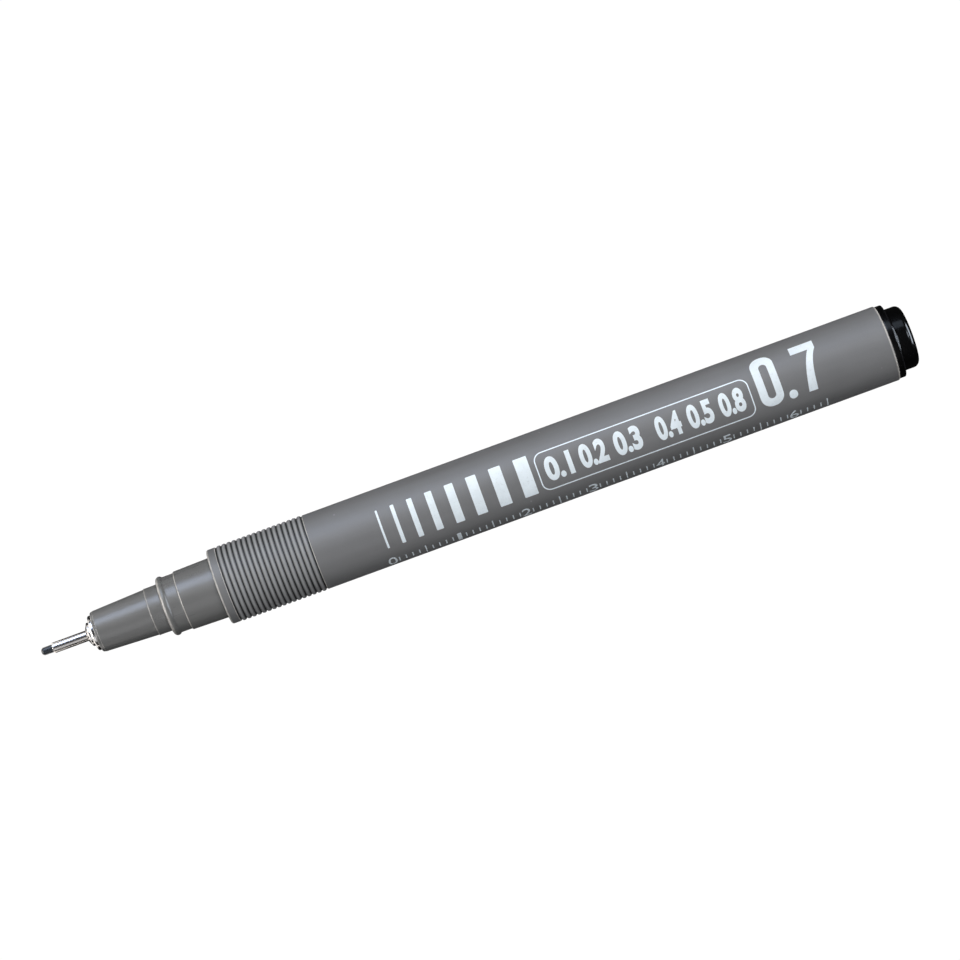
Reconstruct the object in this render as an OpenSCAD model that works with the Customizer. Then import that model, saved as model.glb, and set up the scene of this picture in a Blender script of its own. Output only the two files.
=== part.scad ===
// Technical pen with a metal-clad capillary tip, uncapped and lying on its barrel.
//
// The pen's axis runs along X, with the writing point towards -X and the end plug
// towards +X. The origin is the middle of the pen's length, on the surface it lies on.
// Lengths are in millimetres. Stations along the axis are measured from the writing point.

/* [Nib and tube] */
// Diameter of the capillary rod whose rounded end writes
nib_d = 1.14; // [0.9:0.02:1.14]
// Length of the rod that shows in front of the steel tube
nib_out = 1.7; // [1.2:0.1:2.5]
// Outer diameter of the steel tube round the rod
tube_d = 1.56; // [1.56:0.02:1.8]
// Length of the tube that shows in front of the ferrule
tube_out = 5.15; // [3:0.05:8]

/* [Tip ferrule] */
// Diameter of the small front step
ferrule_step_d = 3.44; // [3:0.02:3.8]
// Diameter of the flange that seats on the nose
ferrule_flange_d = 5.1; // [4.8:0.1:5.4]
// Length of the stepped cone that shows in front of the nose
ferrule_out = 1.4; // [1.2:0.05:2]

/* [Nose section] */
// Diameter of the cone at its front edge
nose_d = 6; // [5.8:0.1:6.3]
// Diameter of the cone where it meets the collar
cone_rear_d = 6.74; // [6.5:0.02:6.8]
// Length of the cone
cone_len = 8.25; // [6:0.05:12]
// Diameter of the plain collar behind the cone
collar_d = 6.92; // [6.84:0.02:7.2]
// Length of the collar
collar_len = 2; // [1:0.1:4]
// Diameter of the round bead that the cap snaps over
bead_d = 8.72; // [8.5:0.02:8.8]
// Diameter of the waist behind the bead
waist_d = 8.24; // [8:0.02:8.3]
// Length of the waist
waist_len = 1.65; // [1:0.05:3]
// Diameter of the land that the cap's mouth seats on
land_d = 8.86; // [8.7:0.02:8.88]
// Length of the land in front of the barrel
land_len = 5.4; // [4.5:0.1:8]
// Length of the spigot inside the barrel
spigot_len = 13.4; // [10:0.2:16]

/* [Barrel] */
// Outer diameter of the plain barrel
barrel_d = 11; // [10.8:0.1:12]
// Length of the barrel
barrel_len = 100; // [98:1:120]
// Length of the smooth band in front of the grip
rim_band = 1.3; // [0.8:0.1:3]
// Number of grip ribs
rib_count = 17; // [8:1:20]
// Distance from one grip rib to the next
rib_pitch = 0.748; // [0.7:0.002:0.9]
// Height of the ribs above the plain barrel
rib_proud = 0.07; // [0.02:0.01:0.2]
// Depth of the grooves below the plain barrel
groove_depth = 0.18; // [0.15:0.01:0.35]

/* [End plug] */
// Diameter of the plug's flange
flange_d = 10.68; // [10:0.02:10.68]
// Thickness of the flange
flange_t = 0.95; // [0.8:0.05:2]
// Diameter of the post that the cap is pushed on to
post_d = 9.08; // [8.6:0.02:9.4]
// Length of the post behind the flange
post_len = 2.55; // [2.4:0.05:4]
// Length of the plug's skirt inside the barrel
skirt_len = 9; // [6:0.5:10]

/* [Ink feed] */
// Diameter of the fibre reservoir
reservoir_d = 7.4; // [6.8:0.1:7.4]
// Length of the fibre reservoir
reservoir_len = 70; // [55:1:72]
// Diameter of the wick between the nib and the reservoir
wick_d = 2.4; // [2.1:0.1:2.6]
// Length of the wick inside the reservoir
wick_in = 8; // [4:0.5:12]
// Outer diameter of the breather tube beside the fibre
breather_d = 0.9; // [0.8:0.1:1]

/* [Hidden] */
$fn = 96;

// Radial gap between pieces that pull apart, and the smaller one inside an assembly that stays together
slide_gap = 0.03;
seat_gap = 0.01;
// Gap between two flat faces that meet
face_gap = 0.02;
// Gap between the reservoir and what holds it at its sides and its rear
reservoir_gap = 0.06;
// How far a cutter runs past the face that it cuts
past = 1;

// Outline of the grip
groove_w = 0.34;
groove_floor_w = 0.16;
rib_shoulder = 0.1;
crest_d = barrel_d + 2 * rib_proud;

// Walls, bores and lead-ins
mouth_d = 8.94;
main_bore_d = 8.5;
spigot_d = 8.5;
skirt_d = 8.7;
seal_w = 0.7;
lead_in = 0.4;
tube_wall = 0.18;
// How much slimmer the tube is inside the ferrule, in radius
tube_step = 0.04;
// Crimp that locks the tube just inside the ferrule: how far back it reaches, and its depth in radius
crimp_len = 0.6;
crimp_depth = 0.06;
film_t = 0.08;
shank_d = 4;
shank_len = 6;
shank_tail = 0.3;
nib_into_wick = 2;
edge = 0.15;
root_w = 0.3;

// Stations along the axis, from the writing point
tube_front = nib_out;
ferrule_front = tube_front + tube_out;
nose_front = ferrule_front + ferrule_out;
collar_front = nose_front + cone_len;
bead_front = collar_front + collar_len;
bead_r = 0.55;
waist_front = bead_front + 2 * bead_r;
land_front = waist_front + waist_len;
barrel_front = land_front + land_len;
barrel_rear = barrel_front + barrel_len;
pen_end = barrel_rear + flange_t + post_len;
shank_end = nose_front + shank_len;
spigot_end = barrel_front + spigot_len;
reservoir_front = spigot_end + 2;
reservoir_end = reservoir_front + reservoir_len;
skirt_front = barrel_rear - skirt_len;
wick_front = nose_front + 13.4;
wick_end = reservoir_front + wick_in;
axis_z = crest_d / 2;

// Puts a shape that is drawn along +Z, from the writing point, on the pen's axis
module on_axis() {
    translate([-pen_end / 2, 0, axis_z])
        rotate([0, 90, 0])
            children();
}

// Turns an outline of [station, diameter] points about the axis
module turned(outline) {
    rotate_extrude()
        polygon([for (point = outline) [point[1] / 2, point[0]]]);
}

// Round rod between two stations, with a chamfer at both ends
module rod(front, rear, d, chamfer = 0) {
    turned([
        [front, 0],
        [front, d - 2 * chamfer],
        [front + chamfer, d],
        [rear - chamfer, d],
        [rear, d - 2 * chamfer],
        [rear, 0]
    ]);
}

// [station, diameter] points of an arc, from angle a to angle b, where 0 is outwards and 90 is rearwards
function arc_points(station, centre_d, r, a, b, steps = 8) = [
    for (i = [0:steps])
        let (angle = a + (b - a) * i / steps)
            [station + r * sin(angle), centre_d + 2 * r * cos(angle)]
];

// Slightly domed end face, from its outer diameter in to the flat at its middle
function domed_end(station, height, outer_d, flat_d, steps = 5) = [
    for (i = [0:steps])
        let (left = 1 - i / steps)
            [station - height * left * left, flat_d + (outer_d - flat_d) * left]
];

// Low ring that grips the bore of the barrel
function seal_ring(station, base_d, top_d) = [
    [station, base_d],
    [station + seal_w / 4, top_d],
    [station + seal_w * 3 / 4, top_d],
    [station + seal_w, base_d]
];

// One grip groove and the shoulders of the ribs on both sides of it
function grip_groove(i) =
    let (
        start = barrel_front + rim_band + i * rib_pitch,
        flank = (groove_w - groove_floor_w) / 2,
        floor_d = barrel_d - 2 * groove_depth,
        front_d = i == 0 ? barrel_d : crest_d,
        rear_d = i == rib_count ? barrel_d : crest_d
    )
    [
        [start - rib_shoulder, front_d],
        [start, front_d - 2 * rib_shoulder],
        [start + flank, floor_d],
        [start + flank + groove_floor_w, floor_d],
        [start + groove_w, rear_d - 2 * rib_shoulder],
        [start + groove_w + rib_shoulder, rear_d]
    ];

module barrel() {
    grooves = [for (i = [0:rib_count]) each grip_groove(i)];
    fin_inner_r = reservoir_d / 2 + film_t + seat_gap + reservoir_gap;
    fin_root = 0.2;
    fin_t = 0.6;
    color("dimgray") {
        difference() {
            turned(concat(
                [[barrel_front, 0], [barrel_front, barrel_d - 4 * edge], [barrel_front + edge, barrel_d]],
                grooves,
                [[barrel_rear - 2 * edge, barrel_d], [barrel_rear, barrel_d - 2 * edge], [barrel_rear, 0]]
            ));
            turned([
                [barrel_front - past, 0],
                [barrel_front - past, mouth_d],
                [spigot_end + face_gap, mouth_d],
                [spigot_end + face_gap + lead_in, main_bore_d],
                [skirt_front - lead_in - face_gap, main_bore_d],
                [skirt_front - face_gap, mouth_d],
                [barrel_rear + past, mouth_d],
                [barrel_rear + past, 0]
            ]);
        }
        // Six long fins centre the reservoir and leave room for air round it
        for (i = [0:5])
            rotate([0, 0, 60 * i])
                translate([fin_inner_r, -fin_t / 2, reservoir_front])
                    cube([main_bore_d / 2 - fin_inner_r + fin_root, fin_t, reservoir_len]);
    }
}

module end_plug() {
    bore_d = 6.8;
    bore_rear = pen_end - 1.3;
    corner_r = 0.8;
    dome_h = 0.12;
    dome_d = post_d - 2 * corner_r;
    seal_top_d = mouth_d - 2 * slide_gap;
    gate_d = 2;
    gate_depth = 0.3;
    fin_t = 0.8;
    fin_front = reservoir_end + reservoir_gap;
    fin_span = bore_d - 0.4;
    fin_root_front = skirt_front + past;
    color("black") {
        difference() {
            turned(concat(
                [[skirt_front, 0], [skirt_front, skirt_d - 2 * lead_in], [skirt_front + 2 * lead_in, skirt_d]],
                seal_ring(skirt_front + 2, skirt_d, seal_top_d),
                seal_ring(skirt_front + 4, skirt_d, seal_top_d),
                [
                    [barrel_rear + face_gap, skirt_d],
                    [barrel_rear + face_gap, flange_d],
                    [barrel_rear + flange_t - edge, flange_d],
                    [barrel_rear + flange_t, flange_d - 2 * edge],
                    [barrel_rear + flange_t, post_d + root_w],
                    [barrel_rear + flange_t + root_w, post_d]
                ],
                arc_points(pen_end - dome_h - corner_r, dome_d, corner_r, 0, 84),
                domed_end(pen_end, dome_h, dome_d, gate_d),
                [[pen_end, 0]]
            ));
            turned([
                [skirt_front - past, 0],
                [skirt_front - past, bore_d],
                [bore_rear - lead_in, bore_d],
                [bore_rear, bore_d - 2 * lead_in],
                [bore_rear, 0]
            ]);
            // Recess left by the mould's gate
            rod(pen_end - gate_depth, pen_end + past, gate_d);
        }
        // Crossed fins reach forwards and hold the reservoir against the wick
        for (i = [0:1])
            rotate([0, 0, 45 + 90 * i])
                translate([-fin_span / 2, -fin_t / 2, fin_front])
                    cube([fin_span, fin_t, bore_rear + edge - fin_front]);
        // The fins' roots run out into the wall of the skirt
        for (i = [0:3])
            rotate([0, 0, 45 + 90 * i])
                translate([fin_span / 2 - edge, -fin_t / 2, fin_root_front])
                    cube([(bore_d - fin_span) / 2 + 2 * edge, fin_t, bore_rear + edge - fin_root_front]);
    }
}

module nose_section() {
    seat_d = shank_d + 2 * slide_gap;
    wick_bore_d = wick_d + 2 * slide_gap;
    guide_d = wick_d + 1.8;
    well_d = 6.9;
    well_front = barrel_front + 2.5;
    seal_top_d = mouth_d - 2 * slide_gap;
    land_taper = 2;
    color("gray")
        difference() {
            turned(concat(
                [
                    [nose_front, 0],
                    [nose_front, nose_d - 2 * edge],
                    [nose_front + edge, nose_d - 0.1],
                    [nose_front + 3 * edge, nose_d],
                    [collar_front, cone_rear_d],
                    [collar_front, collar_d - 0.04],
                    [bead_front, collar_d]
                ],
                arc_points(bead_front + bead_r, bead_d - 2 * bead_r, bead_r, -90, 55),
                [
                    [waist_front + 0.15, waist_d],
                    [land_front - 0.1, waist_d + 0.04],
                    [land_front + 0.1, land_d - 0.26],
                    [land_front + land_taper, land_d],
                    [barrel_front, land_d],
                    [barrel_front, spigot_d]
                ],
                seal_ring(barrel_front + 3, spigot_d, seal_top_d),
                seal_ring(barrel_front + 6, spigot_d, seal_top_d),
                seal_ring(barrel_front + 9, spigot_d, seal_top_d),
                [[spigot_end - 2 * lead_in, spigot_d], [spigot_end, spigot_d - 2 * lead_in], [spigot_end, 0]]
            ));
            // Seat for the ferrule's shank, then the passage for the rod, then the wick's bore
            turned([
                [nose_front - past, 0],
                [nose_front - past, seat_d],
                [shank_end + shank_tail, seat_d],
                [shank_end + shank_tail + 1, nib_d + 0.5],
                [wick_front - face_gap, nib_d + 0.5],
                [wick_front - face_gap, wick_bore_d],
                [spigot_end + past, wick_bore_d],
                [spigot_end + past, 0]
            ]);
            // Well round the wick guide, open towards the reservoir
            difference() {
                rod(well_front, spigot_end + past, well_d);
                rod(well_front - past, spigot_end + 2 * past, guide_d);
            }
            // Air groove along the wick's bore
            translate([-0.2, 0, wick_front])
                cube([0.4, wick_bore_d / 2 + 0.3, spigot_len + land_len + past]);
        }
}

module tip_ferrule() {
    bore_d = tube_d + 2 * seat_gap - 2 * tube_step;
    step_front = nose_front - ferrule_out * 0.7;
    flange_front = nose_front - ferrule_out * 0.35;
    step_rear = flange_front - 0.18;
    shank_front = nose_front - face_gap;
    color("gainsboro")
        difference() {
            turned([
                [ferrule_front, 0],
                [ferrule_front, tube_d + edge],
                [step_front - 0.05, ferrule_step_d - edge],
                [step_front, ferrule_step_d],
                [step_rear, ferrule_step_d],
                [flange_front - 0.02, ferrule_flange_d - edge],
                [flange_front + 0.05, ferrule_flange_d],
                [shank_front, ferrule_flange_d],
                [shank_front, shank_d],
                [shank_end - 0.3, shank_d],
                [shank_end, shank_d - 0.6],
                [shank_end, 0]
            ]);
            rod(ferrule_front - past, shank_end + past, bore_d);
        }
}

module nib_tube() {
    inside_d = tube_d - 2 * tube_step;
    color("silver")
        difference() {
            turned([
                [tube_front, 0],
                [tube_front, tube_d - 0.24],
                [tube_front + 0.04, tube_d - 0.1],
                [tube_front + edge, tube_d],
                [ferrule_front - face_gap, tube_d],
                [ferrule_front - face_gap, inside_d],
                [ferrule_front + crimp_len / 2, inside_d - 2 * crimp_depth],
                [ferrule_front + crimp_len, inside_d],
                [shank_end, inside_d],
                [shank_end, 0]
            ]);
            rod(tube_front - past, shank_end + past, tube_d - 2 * tube_wall);
        }
}

module nib() {
    rear = wick_front + nib_into_wick;
    color("black")
        turned(concat(
            [[0, 0]],
            arc_points(nib_d * 0.42, nib_d * 0.16, nib_d * 0.42, -90, 0, 10),
            [[rear - 0.2, nib_d], [rear, nib_d - 0.3], [rear, 0]]
        ));
}

module feed_wick() {
    socket_d = nib_d + 2 * slide_gap;
    color("darkslategray")
        difference() {
            rod(wick_front, wick_end, wick_d, 0.1);
            rod(wick_front - past, wick_front + nib_into_wick + 0.1, socket_d);
        }
}

// Axis of the breather tube, beside the middle of the reservoir
module beside_axis() {
    translate([-(reservoir_d / 2 - breather_d / 2 - 0.15), 0, 0])
        children();
}

module ink_reservoir() {
    color("darkslategray")
        difference() {
            rod(reservoir_front, reservoir_end, reservoir_d);
            rod(reservoir_front - past, wick_end + 0.3, wick_d + 2 * slide_gap);
            beside_axis()
                rod(reservoir_front - past, reservoir_end + past, breather_d + 2 * seat_gap);
        }
}

module reservoir_film() {
    overhang = 0.4;
    inner_d = reservoir_d + 2 * seat_gap;
    color("whitesmoke")
        difference() {
            rod(reservoir_front - overhang, reservoir_end + overhang, inner_d + 2 * film_t);
            rod(reservoir_front - past, reservoir_end + past, inner_d);
        }
}

module breather_tube() {
    overhang = 1;
    bore_d = breather_d - 0.4;
    color("white")
        beside_axis()
            difference() {
                rod(reservoir_front - overhang, reservoir_end + overhang, breather_d);
                rod(reservoir_front - overhang - past, reservoir_end + overhang + past, bore_d);
            }
}

on_axis() barrel();
on_axis() end_plug();
on_axis() nose_section();
on_axis() tip_ferrule();
on_axis() nib_tube();
on_axis() nib();
on_axis() feed_wick();
on_axis() ink_reservoir();
on_axis() reservoir_film();
on_axis() breather_tube();
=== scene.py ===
"""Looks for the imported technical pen: every piece of it as a detailed mesh with its own finish.

The pen lies along X on the floor, with its writing point towards -X, in metres, in the frame of the
CAD model. Lengths along the pen come from the frame's nodes, and the sizes that a user would change
are properties in the sidebar. Each operator makes one piece or one group of like pieces.
"""

import math

import bmesh
import bpy
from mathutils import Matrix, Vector


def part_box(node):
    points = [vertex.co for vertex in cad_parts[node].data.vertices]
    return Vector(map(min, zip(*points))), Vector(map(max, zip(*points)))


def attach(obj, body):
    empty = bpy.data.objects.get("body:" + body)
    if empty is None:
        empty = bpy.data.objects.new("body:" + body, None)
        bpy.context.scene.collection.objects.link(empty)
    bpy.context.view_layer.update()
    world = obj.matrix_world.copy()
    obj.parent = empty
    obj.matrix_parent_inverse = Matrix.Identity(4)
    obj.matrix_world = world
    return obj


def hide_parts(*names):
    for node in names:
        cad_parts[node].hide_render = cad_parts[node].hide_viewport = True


bl_info = {
    "name": "Technical Pen",
    "version": (1, 0, 0),
    "blender": (4, 5, 0),
    "location": "View3D > Sidebar > Technical Pen",
    "description": "Builds an uncapped technical pen around its CAD frame",
    "category": "Object",
}

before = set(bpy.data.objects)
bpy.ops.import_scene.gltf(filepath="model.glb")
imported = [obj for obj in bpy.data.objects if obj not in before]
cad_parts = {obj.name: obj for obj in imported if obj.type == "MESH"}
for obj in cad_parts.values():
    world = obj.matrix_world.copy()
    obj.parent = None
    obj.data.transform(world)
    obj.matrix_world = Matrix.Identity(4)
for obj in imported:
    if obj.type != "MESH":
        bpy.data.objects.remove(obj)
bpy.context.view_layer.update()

MM = 0.001
FULL_TURN = 2 * math.pi
# Sides of every turned surface, and of the small ones
SIDES = 192
SIDES_SMALL = 96
# Points in one rounded corner of an outline
CORNER_STEPS = 5
# Sides of a grip rib's own section, and points along one fibre strand
RIB_SECTION_SIDES = 20
STRAND_POINTS = 24
# Steps of the printed scale, which has a figure at every tenth of them
SCALE_STEPS = 65
# Gap between pieces that slide in or on each other
SLIDE = 0.03 * MM
# Printed strokes in front of the frame
STROKE_COUNT = 8
# Strength of the floor's white to the camera and of its glow to reflections, and of the room
FLOOR_WHITE = 1.03
FLOOR_GLOW = 2.0
ROOM_LIGHT = 0.03
# The camera's lens in millimetres, and where it stands behind the barrel's front and beside it
CAMERA_LENS = 137.25
CAMERA_BEHIND = 39.62 * MM
CAMERA_ASIDE = 1.57 * MM


def ends(node):
    """Where a CAD node starts and ends along the pen."""
    low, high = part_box(node)
    return low.x, high.x


BARREL_FRONT, BARREL_REAR = ends("barrel")
NOSE_FRONT, SPIGOT_END = ends("nose_section")
FERRULE_FRONT, SHANK_END = ends("tip_ferrule")
TUBE_FRONT = ends("nib_tube")[0]
NIB_FRONT, NIB_REAR = ends("nib")
WICK_FRONT, WICK_REAR = ends("feed_wick")
SKIRT_FRONT, PEN_END = ends("end_plug")
RESERVOIR_FRONT, RESERVOIR_REAR = ends("ink_reservoir")
FILM_FRONT, FILM_REAR = ends("reservoir_film")
BREATHER_FRONT, BREATHER_REAR = ends("breather_tube")
AXIS_Z = (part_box("nose_section")[0].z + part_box("nose_section")[1].z) / 2


# ---------------------------------------------------------------- sizes that a user would change


def length(name, text, value):
    """A length in metres, given in millimetres."""
    return bpy.props.FloatProperty(
        name=name, description=text, default=value * MM, min=0, precision=5, unit="LENGTH"
    )


def colour(name, text, value):
    return bpy.props.FloatVectorProperty(
        name=name, description=text, default=value, size=3, min=0, max=1, subtype="COLOR"
    )


class PenBarrelSizes(bpy.types.PropertyGroup):
    radius: length("Radius", "Radius of the plain barrel", 5.5)
    mouth_radius: length("Mouth radius", "Radius of the bore at both ends", 4.47)
    bore_radius: length("Bore radius", "Radius of the bore round the reservoir", 4.25)
    rim_band: length("Rim band", "Smooth band in front of the grip", 1.3)
    rib_pitch: length("Rib pitch", "Distance from one grip rib to the next", 0.748)
    rib_width: length("Rib width", "Width of a grip rib at its foot", 0.6)
    rib_proud: length("Rib height", "How far the ribs stand out of the plain barrel", 0.07)
    groove_depth: length("Groove depth", "Depth of the grooves below the plain barrel", 0.14)
    rib_count: bpy.props.IntProperty(
        name="Ribs", description="Number of grip ribs", default=17, min=1, max=20
    )
    colour: colour("Colour", "Colour of the moulded barrel", (0.176, 0.180, 0.189))


class PenNoseSizes(bpy.types.PropertyGroup):
    front_radius: length("Front radius", "Radius of the cone at its front edge", 3.0)
    cone_length: length("Cone length", "Length of the cone", 8.25)
    cone_radius: length("Cone radius", "Radius of the cone at its rear", 3.37)
    collar_length: length("Collar length", "Length of the collar behind the cone", 2.0)
    collar_radius: length("Collar radius", "Radius of the collar", 3.46)
    bead_radius: length("Bead radius", "Radius of the bead that holds the cap", 4.36)
    bead_round: length("Bead round", "Radius of the bead's own section", 0.55)
    waist_length: length("Waist length", "Length of the waist behind the bead", 1.65)
    waist_radius: length("Waist radius", "Radius of the waist", 4.12)
    land_radius: length("Land radius", "Radius of the land that the cap seats on", 4.43)
    spigot_radius: length("Spigot radius", "Radius of the spigot inside the barrel", 4.25)
    colour: colour("Colour", "Colour of the moulded nose", (0.157, 0.160, 0.163))


class PenTipSizes(bpy.types.PropertyGroup):
    nib_radius: length("Nib radius", "Radius of the writing rod", 0.57)
    tube_radius: length("Tube radius", "Outer radius of the steel tube", 0.78)
    step_radius: length("Step radius", "Radius of the ferrule's front step", 1.72)
    flange_radius: length("Flange radius", "Radius of the ferrule's flange", 2.55)
    shank_radius: length("Shank radius", "Radius of the ferrule inside the nose", 2.0)


class PenPlugSizes(bpy.types.PropertyGroup):
    flange_radius: length("Flange radius", "Radius of the plug's flange", 5.34)
    flange_thickness: length("Flange thickness", "Thickness of the flange", 0.95)
    post_radius: length("Post radius", "Radius of the post that the cap is pushed on to", 4.54)
    corner_radius: length("Corner radius", "Round corner at the rear of the post", 0.95)
    skirt_radius: length("Skirt radius", "Radius of the skirt inside the barrel", 4.35)
    bore_radius: length("Bore radius", "Radius of the hollow inside the plug", 3.4)
    colour: colour("Colour", "Colour of the plug", (0.0015, 0.0015, 0.0017))


class PenInkSizes(bpy.types.PropertyGroup):
    wick_radius: length("Wick radius", "Radius of the feed wick", 1.2)
    reservoir_radius: length("Reservoir radius", "Radius of the fibre bundle", 3.7)
    breather_radius: length("Breather radius", "Outer radius of the breather tube", 0.45)
    strand_count: bpy.props.IntProperty(
        name="Strands", description="Fibre strands round the reservoir", default=110, min=12
    )
    colour: colour("Ink", "Colour of the fibre soaked in ink", (0.012, 0.012, 0.015))


class PenPrintSizes(bpy.types.PropertyGroup):
    thickness: length("Thickness", "Thickness of the printed ink", 0.012)
    start: length("Start", "Distance from the barrel's front to the line-width samples", 24.3)
    frame_start: length("Frame start", "Distance from the barrel's front to the frame", 47.5)
    frame_end: length("Frame end", "Distance from the barrel's front to the frame's end", 79.2)
    frame_line: length("Frame line", "Width of the frame's line", 0.17)
    figure_start: length("Figure start", "Distance from the barrel's front to the figure", 80.2)
    scale_end: length("Scale end", "Distance from the barrel's front to the scale's end", 89.1)
    colour: colour("Colour", "Colour of the printed ink", (0.79, 0.88, 0.96))


class PenStageSizes(bpy.types.PropertyGroup):
    floor_colour: colour("Floor", "Colour of the floor's bounce", (0.015, 0.015, 0.015))
    floor_size: length("Floor size", "Side of the square floor", 2400)
    camera_distance: length("Camera distance", "From the camera to the pen's axis", 515)
    camera_roll: bpy.props.FloatProperty(
        name="Camera roll",
        description="How far the pen rises to the right in the picture",
        default=math.radians(20.11),
        subtype="ANGLE",
    )


# ---------------------------------------------------------------- outlines and turned pieces


def corner(x, r, round_by=0.0, edge=0.0):
    """An outline corner in metres, cut back by round_by on both sides and rounded."""
    return x, r, round_by, edge


def arc(x, r, radius, first, last, steps=12, wear_and_highlight=None):
    """Outline corners on an arc round (x, r). 0 degrees points away from the axis, 90 rearwards.

    Where an angle is given, the arc is a pale edge round it, partly wear and partly a painted
    highlight."""
    found = []
    for step in range(steps + 1):
        turn = first + (last - first) * step / steps
        edge = 0.0 if wear_and_highlight is None else max(0.0, 1 - abs(turn - wear_and_highlight) / 35)
        angle = math.radians(turn)
        found.append(corner(x + radius * math.sin(angle), r + radius * math.cos(angle), 0.0, edge))
    return found


def seal_ring(x, base, top, width=0.7 * MM):
    """Outline corners of a low ring that grips the barrel's bore."""
    return [
        corner(x, base),
        corner(x + width * 0.25, top, 0.08 * MM),
        corner(x + width * 0.75, top, 0.08 * MM),
        corner(x + width, base),
    ]


def sleeve(front, rear, inner, outer, inner_round=0.0, outer_round=0.0):
    """The closed outline of a plain tube."""
    return [
        corner(front, inner, inner_round),
        corner(front, outer, outer_round),
        corner(rear, outer, outer_round),
        corner(rear, inner, inner_round),
    ]


def is_outer_corner(back, ahead):
    """Whether an outline that runs rearwards on the outside turns outwards here."""
    return back.x * ahead.y - back.y * ahead.x > 0


def smooth_outline(outline, closed):
    """The outline's points with its corners rounded, each with how much of a pale edge it is,
    partly wear and partly a painted highlight.
    """
    points = []
    last = len(outline) - 1
    for i, (x, r, round_by, pale_edge_share) in enumerate(outline):
        here = Vector((x, r))
        if round_by == 0 or (not closed and i in (0, last)):
            points.append((here, pale_edge_share))
            continue
        before = Vector(outline[i - 1][:2]) - here
        after = Vector(outline[(i + 1) % len(outline)][:2]) - here
        cut = min(round_by, before.length * 0.45, after.length * 0.45)
        start = here + before.normalized() * cut
        end = here + after.normalized() * cut
        edge = 1.0 if is_outer_corner(before, after) else 0.0
        points.append((start + before.normalized() * min(cut * 0.4, before.length * 0.04), 0.0))
        for step in range(CORNER_STEPS + 1):
            s = step / CORNER_STEPS
            place = start * (1 - s) ** 2 + here * 2 * s * (1 - s) + end * s**2
            points.append((place, edge * (1 - abs(2 * s - 1)) ** 0.5))
        points.append((end + after.normalized() * min(cut * 0.4, after.length * 0.04), 0.0))
    return points


def new_piece(name, mesh):
    piece = bpy.data.objects.new(name, mesh)
    bpy.context.scene.collection.objects.link(piece)
    return piece


def turn_piece(name, outline, slot, body, node, closed=False, sides=SIDES, offset=(0.0, 0.0)):
    """Turns a piece about the pen's axis, or about a line that stands off it by offset in Y and Z.

    An open outline starts and ends on the axis, and a closed one makes a ring. The mesh holds the
    attribute "edge", which is 1 along its rounded outer corners. The piece replaces a CAD node."""
    shell = bmesh.new()
    edge_layer = shell.verts.layers.float.new("edge")
    rings = []
    for place, edge in smooth_outline(outline, closed):
        on_axis = place.y < 1e-8
        ring = []
        for side in range(1 if on_axis else sides):
            angle = FULL_TURN * side / sides
            y = offset[0] + place.y * math.sin(angle)
            z = AXIS_Z + offset[1] + place.y * math.cos(angle)
            vert = shell.verts.new((place.x, y, z))
            vert[edge_layer] = edge
            ring.append(vert)
        rings.append(ring * sides if on_axis else ring)
    following = rings[1:] + rings[:1] if closed else rings[1:]
    for ring, after in zip(rings, following):
        for side in range(sides):
            beside = (side + 1) % sides
            loop = [ring[side], ring[beside], after[beside], after[side]]
            shell.faces.new(list(dict.fromkeys(loop)))
    bmesh.ops.recalc_face_normals(shell, faces=shell.faces)
    for face in shell.faces:
        face.smooth = True
    mesh = bpy.data.meshes.new(name)
    shell.to_mesh(mesh)
    shell.free()
    dress(new_piece(name, mesh), slot, body, node)


# ---------------------------------------------------------------- node trees


def socket_type(value):
    """The kind of socket that holds a value. A socket with no value holds a material."""
    if value is None:
        return "NodeSocketMaterial"
    if isinstance(value, tuple):
        return "NodeSocketVector" if len(value) == 3 else "NodeSocketColor"
    return "NodeSocketInt" if isinstance(value, int) else "NodeSocketFloat"


class Tree:
    """A node tree under construction."""

    def __init__(self, tree):
        self.tree = tree

    def put(self, value, socket):
        """Sets a socket to a value, or links it to another socket or to a node's first output."""
        if isinstance(value, bpy.types.Node):
            value = value.outputs[0]
        if isinstance(value, bpy.types.NodeSocket):
            self.tree.links.new(value, socket)
        else:
            socket.default_value = value

    def node(self, kind, inputs=None, **settings):
        made = self.tree.nodes.new(kind)
        for key, value in settings.items():
            setattr(made, key, value)
        for key, value in (inputs or {}).items():
            self.put(value, made.inputs[key])
        return made

    def maths(self, operation, *values):
        return self.node("ShaderNodeMath", dict(enumerate(values)), operation=operation)

    def vectors(self, operation, *values):
        return self.node("ShaderNodeVectorMath", dict(enumerate(values)), operation=operation)

    def scaled(self, vector, factor):
        """A vector or a colour times a number."""
        return self.node("ShaderNodeVectorMath", {0: vector, "Scale": factor}, operation="SCALE")

    def ranged(self, value, low, high, to_low=0.0, to_high=1.0):
        """The range low to high moved to to_low to to_high, and held at its ends."""
        ends = {"From Min": low, "From Max": high, "To Min": to_low, "To Max": to_high}
        return self.node("ShaderNodeMapRange", {"Value": value, **ends})

    def place(self):
        """Where each point is in the piece's own frame."""
        return self.node("ShaderNodeTexCoord").outputs["Object"]

    def noise(self, cycles, detail, turned=(0, 0, 0), rough=0.5):
        """Noise with this many cycles to the metre: one number, or one each for X, Y and Z."""
        place = self.place()
        if isinstance(cycles, tuple):
            mapping = {"Vector": place, "Rotation": turned, "Scale": cycles}
            place = self.node("ShaderNodeMapping", mapping)
            cycles = 1.0
        look = {"Vector": place, "Scale": cycles, "Detail": detail, "Roughness": rough}
        return self.node("ShaderNodeTexNoise", look)

    def mixed(self, factor, colour_a, colour_b):
        """Colour a where factor is 0 and colour b where it is 1."""
        inputs = {"Factor": factor, 6: colour_a, 7: colour_b}
        return self.node("ShaderNodeMix", inputs, data_type="RGBA").outputs[2]

    def group(self, name, inputs=None):
        """One of the shader groups."""
        return self.node("ShaderNodeGroup", inputs, node_tree=shader_group(name))


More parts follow.
